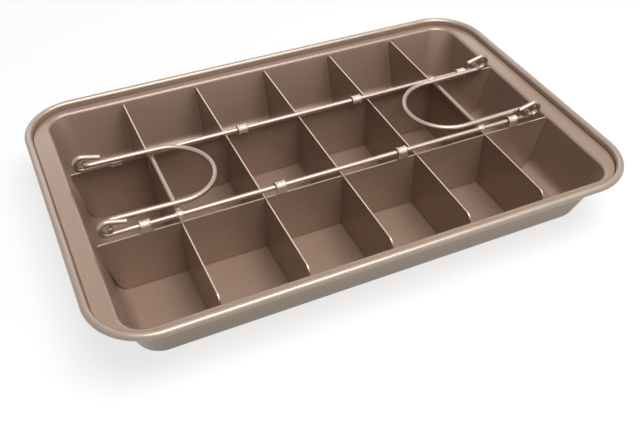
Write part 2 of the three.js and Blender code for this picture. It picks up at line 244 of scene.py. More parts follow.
# %% Group helpers
def new_group(name, kind, inputs, outputs):
    tree = bpy.data.node_groups.new(name, kind)
    for title, socket_type, default in inputs:
        socket = tree.interface.new_socket(title, in_out="INPUT", socket_type=socket_type)
        if default is not None:
            socket.default_value = default
    for title, socket_type in outputs:
        tree.interface.new_socket(title, in_out="OUTPUT", socket_type=socket_type)
    return tree, tree.nodes.new("NodeGroupInput"), tree.nodes.new("NodeGroupOutput")


def use_tree(piece, tree, values):
    modifier = piece.modifiers.new(tree.name, "NODES")
    modifier.node_group = tree
    for item in tree.interface.items_tree:
        if item.item_type == "SOCKET" and item.in_out == "INPUT" and item.name in values:
            modifier[item.identifier] = values[item.name]


# %% [markdown]
# ## The coating
#
# Pan and rack carry a sprayed non-stick coating over steel. It is a satin bronze: half metal,
# half paint. Seen close, its colour drifts a little, tiny metal flakes twinkle in it, and the
# spray leaves a very fine orange peel. An image could carry all that, but noise on Object
# coordinates needs no unwrapping and stays sharp from close by. One node group makes the
# three effects, and each finish uses it with its own strengths.

# %% Coating group
DRIFT_SCALE = 22.0
FLAKE_SCALE = 3800.0
PEEL_SCALE = 900.0
FINE_PEEL = 0.006 * MM
DULLEST_FLAKE = 0.62


def coating_group():
    tree, given, made = new_group(
        "sprayed_coating",
        "ShaderNodeTree",
        [
            ("Drift scale", "NodeSocketFloat", DRIFT_SCALE),
            ("Flake scale", "NodeSocketFloat", FLAKE_SCALE),
            ("Peel scale", "NodeSocketFloat", PEEL_SCALE),
            ("Peel depth", "NodeSocketFloat", FINE_PEEL),
        ],
        [
            ("Drift", "NodeSocketFloat"),
            ("Flakes", "NodeSocketFloat"),
            ("Peel", "NodeSocketVector"),
        ],
    )
    place = add_node(tree, "ShaderNodeTexCoord").outputs["Object"]
    drift = add_node(tree, "ShaderNodeTexNoise", {
        "Vector": place, "Scale": given.outputs["Drift scale"], "Detail": 4.0, "Roughness": 0.55,
    })
    flakes = add_node(tree, "ShaderNodeTexVoronoi", {
        "Vector": place, "Scale": given.outputs["Flake scale"],
    })
    bright = add_node(tree, "ShaderNodeMapRange", {
        "Value": flakes.outputs["Color"], "From Min": DULLEST_FLAKE, "From Max": 1.0,
    })
    peel = add_node(tree, "ShaderNodeTexNoise", {
        "Vector": place, "Scale": given.outputs["Peel scale"], "Detail": 2.0,
    })
    bump = add_node(tree, "ShaderNodeBump", {
        "Height": peel.outputs["Fac"], "Distance": given.outputs["Peel depth"], "Strength": 1.0,
    })
    tree.links.new(drift.outputs["Fac"], made.inputs["Drift"])
    tree.links.new(bright.outputs["Result"], made.inputs["Flakes"])
    tree.links.new(bump.outputs["Normal"], made.inputs["Peel"])
    return tree


COATING = coating_group()
print("coating group:", [item.name for item in COATING.interface.items_tree])

# %% [markdown]
# A finish is a Principled shader around that group. Drift moves the colour between two close
# tones, and flakes lift it towards a light champagne. Drift also moves the roughness, so that
# the sheen breaks up the way a sprayed surface does. Colours are written as they look on a
# screen, from 0 to 255, and a helper turns them into the linear values that shaders use.

# %% Finish helpers
FLAKE_SHARE = 0.3
DRIFT_LOW, DRIFT_HIGH = 0.3, 0.7
SMOOTHER, ROUGHER = 0.03, 0.04


def linear(red, green, blue):
    def channel(value):
        share = value / 255
        return share / 12.92 if share <= 0.04045 else ((share + 0.055) / 1.055) ** 2.4
    return (channel(red), channel(green), channel(blue), 1.0)


def coated_finish(
    name, dark, light, flake, metallic, roughness,
    coat=0.1, coat_roughness=0.2, peel_depth=FINE_PEEL, peel_scale=PEEL_SCALE,
):
    material = bpy.data.materials.new(name)
    material.use_nodes = True
    tree = material.node_tree
    shader = tree.nodes["Principled BSDF"]
    spray = add_node(tree, "ShaderNodeGroup", node_tree=COATING)
    spray.inputs["Peel depth"].default_value = peel_depth
    spray.inputs["Peel scale"].default_value = peel_scale
    tone = blend_colours(tree, spray.outputs["Drift"], linear(*dark), linear(*light))
    amount = calculate(tree, "MULTIPLY", spray.outputs["Flakes"], FLAKE_SHARE)
    colour = blend_colours(tree, amount, tone, linear(*flake))
    rough = add_node(tree, "ShaderNodeMapRange", {
        "Value": spray.outputs["Drift"],
        "From Min": DRIFT_LOW,
        "From Max": DRIFT_HIGH,
        "To Min": roughness - SMOOTHER,
        "To Max": roughness + ROUGHER,
    })
    tree.links.new(colour, shader.inputs["Base Color"])
    tree.links.new(rough.outputs["Result"], shader.inputs["Roughness"])
    tree.links.new(spray.outputs["Peel"], shader.inputs["Normal"])
    shader.inputs["Metallic"].default_value = metallic
    shader.inputs["Coat Weight"].default_value = coat
    shader.inputs["Coat Roughness"].default_value = coat_roughness
    print("finish:", name)
    return material


# %% [markdown]
# The two sprayed faces come first: a bronze inside and on the dividers, and a paler champagne
# outside. The rolled rim is glossier, because rollers smooth it, and its lighter colour is a
# painted sheen. The seam below it is painted dark: a painted shade in the crease.

# %% Finishes of the pan
SHEET_FINISH = coated_finish(
    "bronze_coating",
    dark=(148, 122, 105),
    light=(156, 132, 115),
    flake=(205, 188, 172),
    metallic=0.35,
    roughness=0.38,
    coat=0.35,
    coat_roughness=0.14,
    peel_depth=0.01 * MM,
)
SHELL_FINISH = coated_finish(
    "champagne_coating",
    dark=(147, 122, 99),
    light=(155, 132, 110),
    flake=(205, 190, 172),
    metallic=0.38,
    roughness=0.38,
    coat=0.16,
    coat_roughness=0.15,
    peel_depth=0.01 * MM,
)
# Painted sheen: the rim is lighter than the sheet, which stands in for light on the bead; its lower
# roughness is real.
POLISHED_RIM_AND_SHEEN = coated_finish(
    "polished_rim_painted_sheen",
    dark=(156, 137, 122),
    light=(168, 149, 134),
    flake=(215, 200, 187),
    metallic=0.5,
    roughness=0.34,
    coat=0.4,
    coat_roughness=0.22,
)
# Painted shade: this dark colour in the crease stands in for the shade that falls there.
SEAM_PAINTED_SHADE = coated_finish(
    "painted_seam_shade",
    dark=(84, 60, 42),
    light=(98, 72, 52),
    flake=(130, 105, 85),
    metallic=0.2,
    roughness=0.5,
    coat_roughness=0.3,
)

# %% [markdown]
# The rack needs four more. Its wires are the most metallic. Divider edges are rubbed bright by
# cloths and spatulas, and their lighter colour is also a painted highlight on the edges that
# face up. The pinched tabs are lighter too, which is a painted highlight on the curls. Tabs and
# welds have a coarser skin, and the welds are lighter, because the metal under the coating was
# worked there.

# %% Finishes of the rack
WIRE_FINISH = coated_finish(
    "champagne_wire",
    dark=(157, 138, 126),
    light=(169, 151, 139),
    flake=(210, 194, 182),
    metallic=0.9,
    roughness=0.36,
    peel_depth=0.003 * MM,
)
# Painted highlight and wear: lighter than the sheet, laid on the top edges that face up.
EDGE_HIGHLIGHT_AND_WEAR = coated_finish(
    "rubbed_edge_painted_highlight",
    dark=(190, 170, 152),
    light=(208, 190, 172),
    flake=(230, 216, 200),
    metallic=0.6,
    roughness=0.38,
)
# Painted highlight: the curls are lighter than the sheet where they catch the light; the coarse
# peel is real.
TAB_SKIN_AND_HIGHLIGHT = coated_finish(
    "pinched_tab_painted_highlight",
    dark=(190, 172, 155),
    light=(210, 194, 177),
    flake=(240, 230, 215),
    metallic=0.5,
    roughness=0.33,
    coat=0.2,
    peel_depth=0.06 * MM,
    peel_scale=1500.0,
)
WELD_FINISH = coated_finish(
    "weld_bead",
    dark=(186, 170, 153),
    light=(204, 189, 172),
    flake=(235, 224, 210),
    metallic=0.45,
    roughness=0.4,
    coat=0.2,
    peel_depth=0.03 * MM,
)

# %% [markdown]
# ## The pan
#
# The real pan is one sheet: a press pushes the tray into it, and rollers curl its edge into a
# bead. Every level of it is a rectangle with round corners, so it can be lofted: a list of
# rings climbs from the floor over the fillet, the wall, the lip and the flange to the bead. A
# bevelled box would be quicker, but its corners keep one radius all the way up, and these
# open towards the flange.
#
# The ends lean less than the long sides, so length and width each follow their own draft. This
# cell works out how far the middle of the sheet reaches at any height: round the fillet,
# straight up the leaning wall, and round the lip on to the flange.

# %% Reach of the walls
FLOOR_FILLET = 8.4 * MM
LIP_RADIUS = 1.8 * MM
FLOOR_LEVEL = HALF_SHEET
FLANGE_LEVEL = FLANGE_HEIGHT - HALF_SHEET


def wall_reach(opening_half, draft):
    middle_half = opening_half + HALF_SHEET / math.cos(draft) - HALF_SHEET * math.tan(draft)
    turn = math.tan((math.pi / 2 - draft) / 2)
    climb = FLANGE_LEVEL - FLOOR_LEVEL
    floor_edge = middle_half - climb * math.tan(draft) - FLOOR_FILLET * turn
    flange_edge = middle_half + LIP_RADIUS * turn
    fillet_top = FLOOR_LEVEL + FLOOR_FILLET * (1 - math.sin(draft))
    lip_bottom = FLANGE_LEVEL - LIP_RADIUS * (1 - math.sin(draft))

    def reach(z):
        if z < fillet_top:
            drop = FLOOR_FILLET - (z - FLOOR_LEVEL)
            return floor_edge + math.sqrt(max(FLOOR_FILLET**2 - drop**2, 0))
        if z > lip_bottom:
            rise = LIP_RADIUS - (FLANGE_LEVEL - z)
            return flange_edge - math.sqrt(max(LIP_RADIUS**2 - rise**2, 0))
        return middle_half - (FLANGE_LEVEL - z) * math.tan(draft)

    return reach


reach_x = wall_reach(OPENING_HALF_X, END_DRAFT)
reach_y = wall_reach(OPENING_HALF_Y, SIDE_DRAFT)
print("flat floor:", [round(2 * reach(FLOOR_LEVEL) / MM, 1) for reach in (reach_x, reach_y)], "mm")

# %% [markdown]
# The tray's levels are spaced by angle round the fillet and the lip, where the sheet bends,
# and evenly up the wall. A level is a length, a width, a corner radius and a height. The
# corner keeps pace with the fillet near the floor, and above it opens evenly to the flange.

# %% Levels of the tray
FLOOR_CORNER = 6.4 * MM
OPENING_CORNER = 12.9 * MM


def tray_levels(fillet_steps=14, wall_steps=6, lip_steps=8):
    turned = math.pi / 2 - min(END_DRAFT, SIDE_DRAFT)
    heights = [
        FLOOR_LEVEL + FLOOR_FILLET * (1 - math.cos(turned * i / fillet_steps))
        for i in range(fillet_steps + 1)
    ]
    low = heights[-1]
    high = FLANGE_LEVEL - LIP_RADIUS * (1 - math.cos(turned))
    heights += [low + (high - low) * i / wall_steps for i in range(1, wall_steps)]
    heights += [
        FLANGE_LEVEL - LIP_RADIUS * (1 - math.cos(turned * (1 - i / lip_steps)))
        for i in range(lip_steps + 1)
    ]
    foot_corner = FLOOR_CORNER + reach_x(low) - reach_x(FLOOR_LEVEL)
    levels = []
    for z in heights:
        if z < low:
            corner = FLOOR_CORNER + reach_x(z) - reach_x(FLOOR_LEVEL)
        else:
            share = (z - low) / (FLANGE_LEVEL - low)
            corner = foot_corner + (OPENING_CORNER - foot_corner) * share
        levels.append((reach_x(z), reach_y(z), corner, z))
    return levels


tray = tray_levels()
print("tray:", len(tray), "levels")

# %% [markdown]
# The edge has three arcs in section. The flange bends down over a small edge, turns up again
# in a tight crease, and rolls outwards over the top and under itself. That crease draws the
# dark line between flange and rim, and a painted shade laid in it further down makes the line
# darker. Each point is how far out and how high it lies, and it makes a ring that keeps the
# shape of the flange's corners.

# %% Levels of the bead
END_FLANGE = 11.1 * MM
SIDE_FLANGE = 5.4 * MM
BEAD_RADIUS = 2.1 * MM
BEAD_RISE = 1.9 * MM
BEAD_CORNER = 30 * MM
BEAD_END = math.radians(-120)
CREASE_EDGE = 0.45 * MM
CREASE_FOOT = 0.45 * MM
CREASE_TURN = math.radians(56)


def bead_levels(edge_steps=5, foot_steps=10, roll_steps=36):
    roll = BEAD_RADIUS - HALF_SHEET
    centre = FLANGE_HEIGHT + BEAD_RISE
    drop = (CREASE_EDGE + CREASE_FOOT) * (1 - math.cos(CREASE_TURN))
    start = -roll - CREASE_FOOT - (CREASE_EDGE + CREASE_FOOT) * math.sin(CREASE_TURN)
    profile = []
    for i in range(edge_steps):
        angle = math.pi / 2 - CREASE_TURN * i / edge_steps
        profile.append((
            start + CREASE_EDGE * math.cos(angle),
            FLANGE_LEVEL - CREASE_EDGE + CREASE_EDGE * math.sin(angle),
        ))
    for i in range(foot_steps + 1):
        angle = -math.pi / 2 - CREASE_TURN + (math.pi / 2 + CREASE_TURN) * i / foot_steps
        profile.append((
            -roll - CREASE_FOOT + CREASE_FOOT * math.cos(angle),
            FLANGE_LEVEL - drop + CREASE_FOOT + CREASE_FOOT * math.sin(angle),
        ))
    for i in range(roll_steps + 1):
        angle = math.pi + (BEAD_END - math.pi) * i / roll_steps
        profile.append((roll * math.cos(angle), centre + roll * math.sin(angle)))
    half_length = OPENING_HALF_X + END_FLANGE + BEAD_RADIUS
    half_width = OPENING_HALF_Y + SIDE_FLANGE + BEAD_RADIUS
    return [(half_length + out, half_width + out, BEAD_CORNER + out, z) for out, z in profile]


bead = bead_levels()
print("bead:", len(bead), "levels")

# %% [markdown]
# A ring is a rectangle whose corners are arcs, with the same number of points at every level.
# That makes the loft simple: quads join each ring to the next, and one face closes the floor.

# %% Loft
CORNER_STEPS = 18
AROUND = 4 * (CORNER_STEPS + 1)


def ring(length, width, corner, z):
    points = []
    for quarter, (side_x, side_y) in enumerate(((1, 1), (-1, 1), (-1, -1), (1, -1))):
        for i in range(CORNER_STEPS + 1):
            angle = (quarter + i / CORNER_STEPS) * math.pi / 2
            points.append((
                side_x * (length - corner) + corner * math.cos(angle),
                side_y * (width - corner) + corner * math.sin(angle),
                z,
            ))
    return points


def loft(name, levels):
    points = [p for level in levels for p in ring(*level)]
    faces = [tuple(range(AROUND))]
    for level in range(len(levels) - 1):
        low = level * AROUND
        for i in range(AROUND):
            j = (i + 1) % AROUND
            faces.append((low + i, low + j, low + AROUND + j, low + AROUND + i))
    return mesh_object(name, points, faces)


def ring_of(face):
    return (face.index - 1) // AROUND


pan = loft("pressed_pan", tray + bead)
face_outwards(pan)
print("lofted:", len(pan.data.polygons), "faces")

# %% [markdown]
# The rings also say which finish a face gets. A painted shade runs round in the crease, and
# the polished rim, with its painted sheen, starts above it. Both are set before the sheet gets
# its thickness, while a face's number still tells its ring. The faces that look down get the
# outside's finish afterwards, when there is an outside.

# %% Dress the pan
PAN_EDGE = 0.2 * MM
SHADED_SEAM_RINGS = (2, 14)
UNDERSIDE = 0.3 * MM

shaded_seam_start, shaded_seam_end = (len(tray) + step for step in SHADED_SEAM_RINGS)
pan.data.materials.append(SHEET_FINISH)
# the rim above the crease gets its painted sheen
dress(pan, POLISHED_RIM_AND_SHEEN, lambda face: ring_of(face) > shaded_seam_end)
# painted shade on the crease rings
dress(pan, SEAM_PAINTED_SHADE, lambda face: shaded_seam_start <= ring_of(face) <= shaded_seam_end)
thicken(pan, PAN_EDGE)
make_plain(pan)
rim_slot = pan.data.materials.find(POLISHED_RIM_AND_SHEEN.name)
dress(pan, SHELL_FINISH, lambda face: (
    face.normal.z < 0
    and face.center.z < FLANGE_HEIGHT - UNDERSIDE
    and face.material_index != rim_slot
))
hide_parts("pan")
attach(pan, "pan")

# %% [markdown]
# ## The dividers
#
# A divider starts as a flat blank. Its ends follow the pan's leaning walls, its lower corners
# are rounded to clear the fillet, and slots half its height deep let the blanks cross each
# other. Booleans could cut the slots out of a plate, but an outline that already has them
# stays one clean face, which takes a thickness and a bevel without flaws. It is written as
# corners, and a helper rounds the ones with a radius.

# %% Outline helpers
def rounded_outline(corners, steps=7):
    outline = []
    count = len(corners)
    for i, (x, z, radius) in enumerate(corners):
        here = Vector((x, z))
        if not radius:
            outline.append(here)
            continue
        before = (Vector(corners[i - 1][:2]) - here).normalized()
        after = (Vector(corners[(i + 1) % count][:2]) - here).normalized()
        half = before.angle(after) / 2
        centre = here + (before + after).normalized() * (radius / math.sin(half))
        start = here + before * (radius / math.tan(half)) - centre
        end = here + after * (radius / math.tan(half)) - centre
        swing = start.angle_signed(end)
        for step in range(steps + 1):
            turn = Matrix.Rotation(-swing * step / steps, 2)
            outline.append(centre + turn @ start)
    return outline


def cuts(places, edge_z, direction):
    corners = []
    for at, width, depth in sorted(places, key=lambda cut: direction * cut[0]):
        near = at - direction * width / 2
        far = at + direction * width / 2
        end = edge_z + direction * depth
        corners += [(near, edge_z, 0), (near, end, 0), (far, end, 0), (far, edge_z, 0)]
    return corners


# %% [markdown]
# With those helpers one outline serves both kinds of divider. It walks along the foot, up one
# end, back along the top and down again, and takes the cuts of either edge on its way.

# %% Divider outline
DIVIDER_FOOT = 1.1 * MM
DIVIDER_TOP = 37 * MM
DIVIDER_WALL_GAP = 1.6 * MM
DIVIDER_FOOT_CORNER = 7 * MM
DIVIDER_EDGE = 0.14 * MM
LAP_HEIGHT = (DIVIDER_FOOT + DIVIDER_TOP) / 2
LAP_GAP = 0.15 * MM
SLOT_WIDTH = 1.4 * MM


def divider_reach(opening_half, draft, z):
    return opening_half - (FLANGE_HEIGHT - z) * math.tan(draft) - DIVIDER_WALL_GAP


def divider_outline(opening_half, draft, top_corner, top_cuts, foot_cuts):
    foot = divider_reach(opening_half, draft, DIVIDER_FOOT)
    top = divider_reach(opening_half, draft, DIVIDER_TOP)
    print("divider:", round(2 * foot / MM, 1), "mm at its foot,", round(2 * top / MM, 1), "on top")
    return rounded_outline([
        (-foot, DIVIDER_FOOT, DIVIDER_FOOT_CORNER),
        *cuts(foot_cuts, DIVIDER_FOOT, 1),
        (foot, DIVIDER_FOOT, DIVIDER_FOOT_CORNER),
        (top, DIVIDER_TOP, top_corner),
        *cuts(top_cuts, DIVIDER_TOP, -1),
        (-top, DIVIDER_TOP, top_corner),
    ])


# %% [markdown]
# The coating is thin on a cut edge, and use rubs it bright. The lighter colour there is also a
# painted highlight, so only the faces that look up near the top are dressed so, down to a depth
# that takes in the rounded corners where they show.

# %% Rubbed edges and painted highlight
LOOKS_UP = 0.2
ABOVE_EDGE = 0.1 * MM


# Lays the painted highlight and wear on faces that look up near the top edge.
def paint_top_edge_highlight(piece, depth):
    dress(piece, EDGE_HIGHLIGHT_AND_WEAR, lambda face: (
        face.normal.z > LOOKS_UP
        and DIVIDER_TOP - depth < face.center.z < DIVIDER_TOP + ABOVE_EDGE
    ))


# %% [markdown]
# The short dividers are all alike and stand at an even pitch, so one blank is drawn and a
# Geometry Nodes tree sets out the row. An Array modifier could do it too, but the inputs of a
# tree have names: the blank, the count, the pitch and the finish. The instances are realized
# at the end, because later steps need real faces.

# %% Row tree
def row_tree():
    tree, given, made = new_group(
        "divider_row",
        "GeometryNodeTree",
        [
            ("Blank", "NodeSocketGeometry", None),
            ("Count", "NodeSocketInt", SHORT_DIVIDERS),
            ("Pitch", "NodeSocketFloat", COLUMN_PITCH),
            ("Finish", "NodeSocketMaterial", None),
        ],
        [("Row", "NodeSocketGeometry")],
    )
    gaps = calculate(tree, "ADD", given.outputs["Count"], -1.0)
    half = calculate(tree, "MULTIPLY", gaps, -0.5)
    start = calculate(tree, "MULTIPLY", half, given.outputs["Pitch"])
    first = add_node(tree, "ShaderNodeCombineXYZ", {"X": start})
    step = add_node(tree, "ShaderNodeCombineXYZ", {"X": given.outputs["Pitch"]})
    line = add_node(tree, "GeometryNodeMeshLine", {
        "Count": given.outputs["Count"],
        "Start Location": first.outputs[0],
        "Offset": step.outputs[0],
    }, mode="OFFSET")
    row = add_node(tree, "GeometryNodeInstanceOnPoints", {
        "Points": line.outputs["Mesh"], "Instance": given.outputs["Blank"],
    })
    real = add_node(tree, "GeometryNodeRealizeInstances", {"Geometry": row.outputs[0]})
    dressed = add_node(tree, "GeometryNodeSetMaterial", {
        "Geometry": real.outputs[0], "Material": given.outputs["Finish"],
    })
    tree.links.new(dressed.outputs[0], made.inputs["Row"])
    return tree


ROW_TREE = row_tree()
print("row tree:", [item.name for item in ROW_TREE.interface.items_tree])

# %% [markdown]
# A short divider has one slot for each long divider, cut upwards from its foot, so the long
# ones carry it. Its blank is a single flat face across the pan, which the tree turns into five
# and `thicken` into sheet metal.

# %% Short dividers
SHORT_TOP_CORNER = 4 * MM
SHORT_HIGHLIGHT_DEPTH = 4.2 * MM

short_outline = divider_outline(
    OPENING_HALF_Y,
    SIDE_DRAFT,
    top_corner=SHORT_TOP_CORNER,
    top_cuts=[],
    foot_cuts=[
        (side * ROW_PITCH / 2, SLOT_WIDTH, LAP_HEIGHT - DIVIDER_FOOT + LAP_GAP)
        for side in (-1, 1)
    ],
)
short_dividers = mesh_object(
    "short_dividers",
    [(0, p.x, p.y) for p in short_outline],
    [tuple(range(len(short_outline)))],
)
use_tree(short_dividers, ROW_TREE, {
    "Count": SHORT_DIVIDERS, "Pitch": COLUMN_PITCH, "Finish": SHEET_FINISH,
})
thicken(short_dividers, DIVIDER_EDGE)
make_plain(short_dividers)
paint_top_edge_highlight(short_dividers, SHORT_HIGHLIGHT_DEPTH)
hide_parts(*[f"short_divider_{i + 1}" for i in range(SHORT_DIVIDERS)])
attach(short_dividers, "rack")

# %% [markdown]
# A long divider also holds the rods. Beside each tab a notch frees a strip of the sheet, which
# climbs the outer side of the rod and curls over it. On the middle surface a tab is a ribbon
# of quads, in rows round the rod. The pinch that curls it leaves its face a little uneven and
# its two ends slightly raised, so the ribbon's radius carries a ripple and two ridges.

# %% Tabs
TAB_WIDTH = 5.6 * MM
TAB_END = math.radians(-70)
TAB_ROWS = 18
TAB_COLUMNS = 16
TAB_RIPPLE = 0.06 * MM
RIPPLE_TURN = 0.9
TAB_RIDGE = 0.28 * MM
RIDGE_SPREAD = 1.3
RIDGE_ROWS = 4


def tab_radius(row, column):
    radius = ROW_PITCH / 2 - ROD_Y
    if 0 < row < TAB_ROWS and 0 < column < TAB_COLUMNS:
        wave = math.sin(column + RIPPLE_TURN * row)
        radius += TAB_RIPPLE * math.cos(math.pi * column) * wave
    from_edge = min(column, TAB_COLUMNS - column)
    height = math.exp(-((from_edge - 1) / RIDGE_SPREAD) ** 2) * min(1, row / RIDGE_ROWS)
    return radius + TAB_RIDGE * height


def tab_rows(x, side):
    rows = []
    for row in range(TAB_ROWS + 1):
        angle = math.pi + (TAB_END - math.pi) * row / TAB_ROWS
        points = []
        for column in range(TAB_COLUMNS + 1):
            radius = tab_radius(row, column)
            points.append((
                x + TAB_WIDTH * (column / TAB_COLUMNS - 0.5),
                -side * (ROW_PITCH / 2 - ROD_Y + radius * math.cos(angle)),
                ROD_HEIGHT + radius * math.sin(angle),
            ))
        rows.append(points)
    return rows


print("tab:", TAB_ROWS, "rows of", TAB_COLUMNS, "quads")

# %% [markdown]
# The ribbon grows out of the blank's top edge. One face joins the two corners between the
# notches to the ribbon's first row, so sheet and tabs stay one piece of metal.

# %% Long dividers
NOTCH_WIDTH = 0.5 * MM
NOTCH_DEPTH = 1.2 * MM
TAB_X = [x * MM for x in (-113.2, -37.6, 37.6, 113.2)]
TAB_SHIFT = {"front": 0.4 * MM, "back": 0.1 * MM}
LONG_TOP_CORNER = 1.5 * MM
LONG_HIGHLIGHT_DEPTH = 0.4 * MM
TAB_FOOT = DIVIDER_TOP + 1.5 * MM


def nearest(outline, corner):
    return min(range(len(outline)), key=lambda i: (outline[i] - corner).length)


def blank_with_tabs(outline, tabs, side):
    points = [(p.x, 0, p.y) for p in outline]
    faces = [tuple(range(len(points)))]
    for x in tabs:
        left, right = (
            nearest(outline, Vector((x + half, DIVIDER_TOP)))
            for half in (-TAB_WIDTH / 2, TAB_WIDTH / 2)
        )
        first = len(points)
        points += [point for row in tab_rows(x, side) for point in row]
        faces.append((right, left, *range(first, first + TAB_COLUMNS + 1)))
        for row in range(TAB_ROWS):
            for column in range(TAB_COLUMNS):
                a = first + row * (TAB_COLUMNS + 1) + column
                faces.append((a, a + 1, a + TAB_COLUMNS + 2, a + TAB_COLUMNS + 1))
    return points, faces


def long_divider(name, side, shift):
    tabs = [x + shift for x in TAB_X]
    slot_depth = DIVIDER_TOP - LAP_HEIGHT + LAP_GAP
    slots = [
        ((i - (SHORT_DIVIDERS - 1) / 2) * COLUMN_PITCH, SLOT_WIDTH, slot_depth)
        for i in range(SHORT_DIVIDERS)
    ]
    notches = [
        (x + edge * (TAB_WIDTH + NOTCH_WIDTH) / 2, NOTCH_WIDTH, NOTCH_DEPTH)
        for x in tabs
        for edge in (-1, 1)
    ]
    outline = divider_outline(OPENING_HALF_X, END_DRAFT, LONG_TOP_CORNER, slots + notches, [])
    points, faces = blank_with_tabs(outline, tabs, side)
    place = Vector((0, side * ROW_PITCH / 2, 0))
    piece = mesh_object(name, [place + Vector(p) for p in points], faces)
    face_outwards(piece)
    thicken(piece, DIVIDER_EDGE)
    piece.data.materials.append(SHEET_FINISH)
    make_plain(piece)
    paint_top_edge_highlight(piece, LONG_HIGHLIGHT_DEPTH)
    # the tab curls get their painted highlight
    dress(piece, TAB_SKIN_AND_HIGHLIGHT, lambda face: face.center.z > TAB_FOOT)
    return piece


for place, side in (("front", -1), ("back", 1)):
    plate = long_divider(place + "_long_divider_sheet", side, TAB_SHIFT[place])
    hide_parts(place + "_long_divider")
    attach(plate, "rack")

# %% [markdown]
# ## The wires
#
# Rods, crossbars and handles are all bent wire, which is a round section on a path. Curve to
# Mesh does exactly that. A curve object's own bevel would too, but one tree can hold the
# radius, the sides and the finish of all six wires. The path is drawn as points and edges, and
# each point carries a scale, so the last points can draw in and give the cut ends a small
# chamfer. The tree ends as the row's does, so a path that is an instance would serve as well.

# %% Wire tree
WIRE_SIDES = 20


def wire_tree():
    tree, given, made = new_group(
        "bent_wire",
        "GeometryNodeTree",
        [
            ("Path", "NodeSocketGeometry", None),
            ("Radius", "NodeSocketFloat", WIRE_RADIUS),
            ("Sides", "NodeSocketInt", WIRE_SIDES),
            ("Finish", "NodeSocketMaterial", None),
        ],
        [("Wire", "NodeSocketGeometry")],
    )
    path = add_node(tree, "GeometryNodeMeshToCurve", {"Mesh": given.outputs["Path"]})
    section = add_node(tree, "GeometryNodeCurvePrimitiveCircle", {
        "Resolution": given.outputs["Sides"], "Radius": given.outputs["Radius"],
    })
    scale = add_node(
        tree, "GeometryNodeInputNamedAttribute", {"Name": "wire_scale"}, data_type="FLOAT"
    )
    swept = add_node(tree, "GeometryNodeCurveToMesh", {
        "Curve": path.outputs["Curve"],
        "Profile Curve": section.outputs["Curve"],
        "Scale": scale.outputs["Attribute"],
        "Fill Caps": True,
    })
    real = add_node(tree, "GeometryNodeRealizeInstances", {"Geometry": swept.outputs["Mesh"]})
    dressed = add_node(tree, "GeometryNodeSetMaterial", {
        "Geometry": real.outputs[0], "Material": given.outputs["Finish"],
    })
    tree.links.new(dressed.outputs[0], made.inputs["Wire"])
    return tree


WIRE_TREE = wire_tree()
print("wire:", round(2 * WIRE_RADIUS / MM, 1), "mm thick,", WIRE_SIDES, "sides")

# %% [markdown]
# Three helpers draw with it. One sweeps any path, one adds the chamfered ends, and one gives
# the points of an arc, because every bend in a wire is an arc.

# %% Wire helpers
END_CHAMFER = 0.3 * MM
AXIS_X, AXIS_Y, AXIS_Z = Vector((1, 0, 0)), Vector((0, 1, 0)), Vector((0, 0, 1))


def swept_wire(name, path, scales):
    piece = mesh_object(name, path, [], [(i, i + 1) for i in range(len(path) - 1)])
    piece.data.attributes.new("wire_scale", "FLOAT", "POINT").data.foreach_set("value", scales)
    use_tree(piece, WIRE_TREE, {
        "Radius": WIRE_RADIUS, "Sides": WIRE_SIDES, "Finish": WIRE_FINISH,
    })
    return piece


def wire_piece(name, points):
    first = (points[1] - points[0]).normalized()
    last = (points[-2] - points[-1]).normalized()
    path = [
        points[0], points[0] + first * END_CHAMFER,
        *points[1:-1],
        points[-1] + last * END_CHAMFER, points[-1],
    ]
    end_scale = 1 - END_CHAMFER / WIRE_RADIUS
    return make_plain(swept_wire(name, path, [end_scale] + [1.0] * (len(path) - 2) + [end_scale]))


def arc(centre, radius, start, end, right, up, steps):
    points = []
    for i in range(steps + 1):
        angle = start + (end - start) * i / steps
        points.append(centre + right * (radius * math.cos(angle)) + up * (radius * math.sin(angle)))
    return points


# %% [markdown]
# A rod runs straight under the tabs. Past the last tab it turns up and back over itself into a
# hook, whose tail slopes down towards the middle of the pan. The handle's end turns in it. A
# Bezier curve could draw the hook by eye, but an arc has one true radius, and the play of the
# hinge depends on it.

# %% Rods
HOOK_X = 129.95 * MM
ROD_SHIFT = -1.6 * MM
HOOK_RADIUS = 4.1 * MM
HOOK_STEPS = 30
TAIL_LENGTH = 9.5 * MM
TAIL_DROP = math.radians(15)


def hook(side, y):
    outward = AXIS_X * side
    curve = arc(
        Vector((side * HOOK_X + ROD_SHIFT, y, ROD_HEIGHT + HOOK_RADIUS)),
        HOOK_RADIUS,
        -math.pi / 2,
        math.pi / 2 + TAIL_DROP,
        outward,
        AXIS_Z,
        HOOK_STEPS,
    )
    tail = (outward * math.cos(TAIL_DROP) + AXIS_Z * math.sin(TAIL_DROP)) * TAIL_LENGTH
    return curve + [curve[-1] - tail]


for name, side in (("front_rod", -1), ("back_rod", 1)):
    y = side * ROD_Y
    rod = wire_piece(name + "_wire", hook(-1, y)[::-1] + hook(1, y))
    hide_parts(name)
    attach(rod, "rack")

# %% [markdown]
# The crossbars are cut to length and welded to the rods' sides. The weld upsets the end of
# the bar into a knob with a neck behind it, and squeezes a low lump of metal out along the
# rod. The sweep's scale makes knob and neck, from pairs of how far in from the end they lie,
# in millimetres, and how thick they are. The lump is a ball of many faces, drawn out and
# roughened with noise. It belongs to the bar's mesh, and the bar's end wears the weld's finish.

